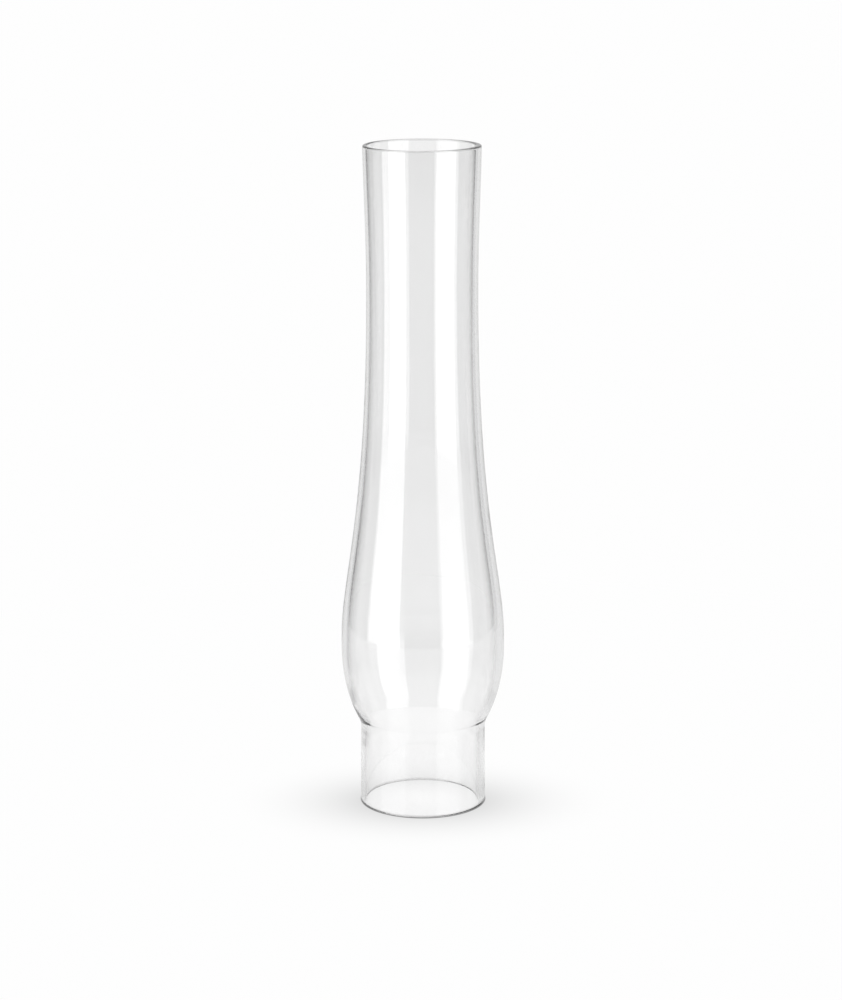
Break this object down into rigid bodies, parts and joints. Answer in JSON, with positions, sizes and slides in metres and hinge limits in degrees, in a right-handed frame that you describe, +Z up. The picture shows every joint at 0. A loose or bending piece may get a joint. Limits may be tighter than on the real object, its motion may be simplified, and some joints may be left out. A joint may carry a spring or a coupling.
{
  "type": "oil lamp chimney",
  "caption": "Clear blown-glass chimney for a flat-wick oil lamp: a straight collar, a low bulb and a long taper to a slim neck that flares slightly at its open mouth.",
  "frame": {"origin": "centre of the foot, on the surface that the chimney stands on", "axes": "+Z up along the chimney's axis, from the foot to the mouth; it is a body of revolution, so X and Y are free"},
  "size_m": [0.0518, 0.0518, 0.21],
  "materials": {
    "clear_glass": "clear, smooth and fire-polished"
  },
  "bodies": {
    "root": {"glass_chimney": "clear_glass"}
  },
  "joints": []
}
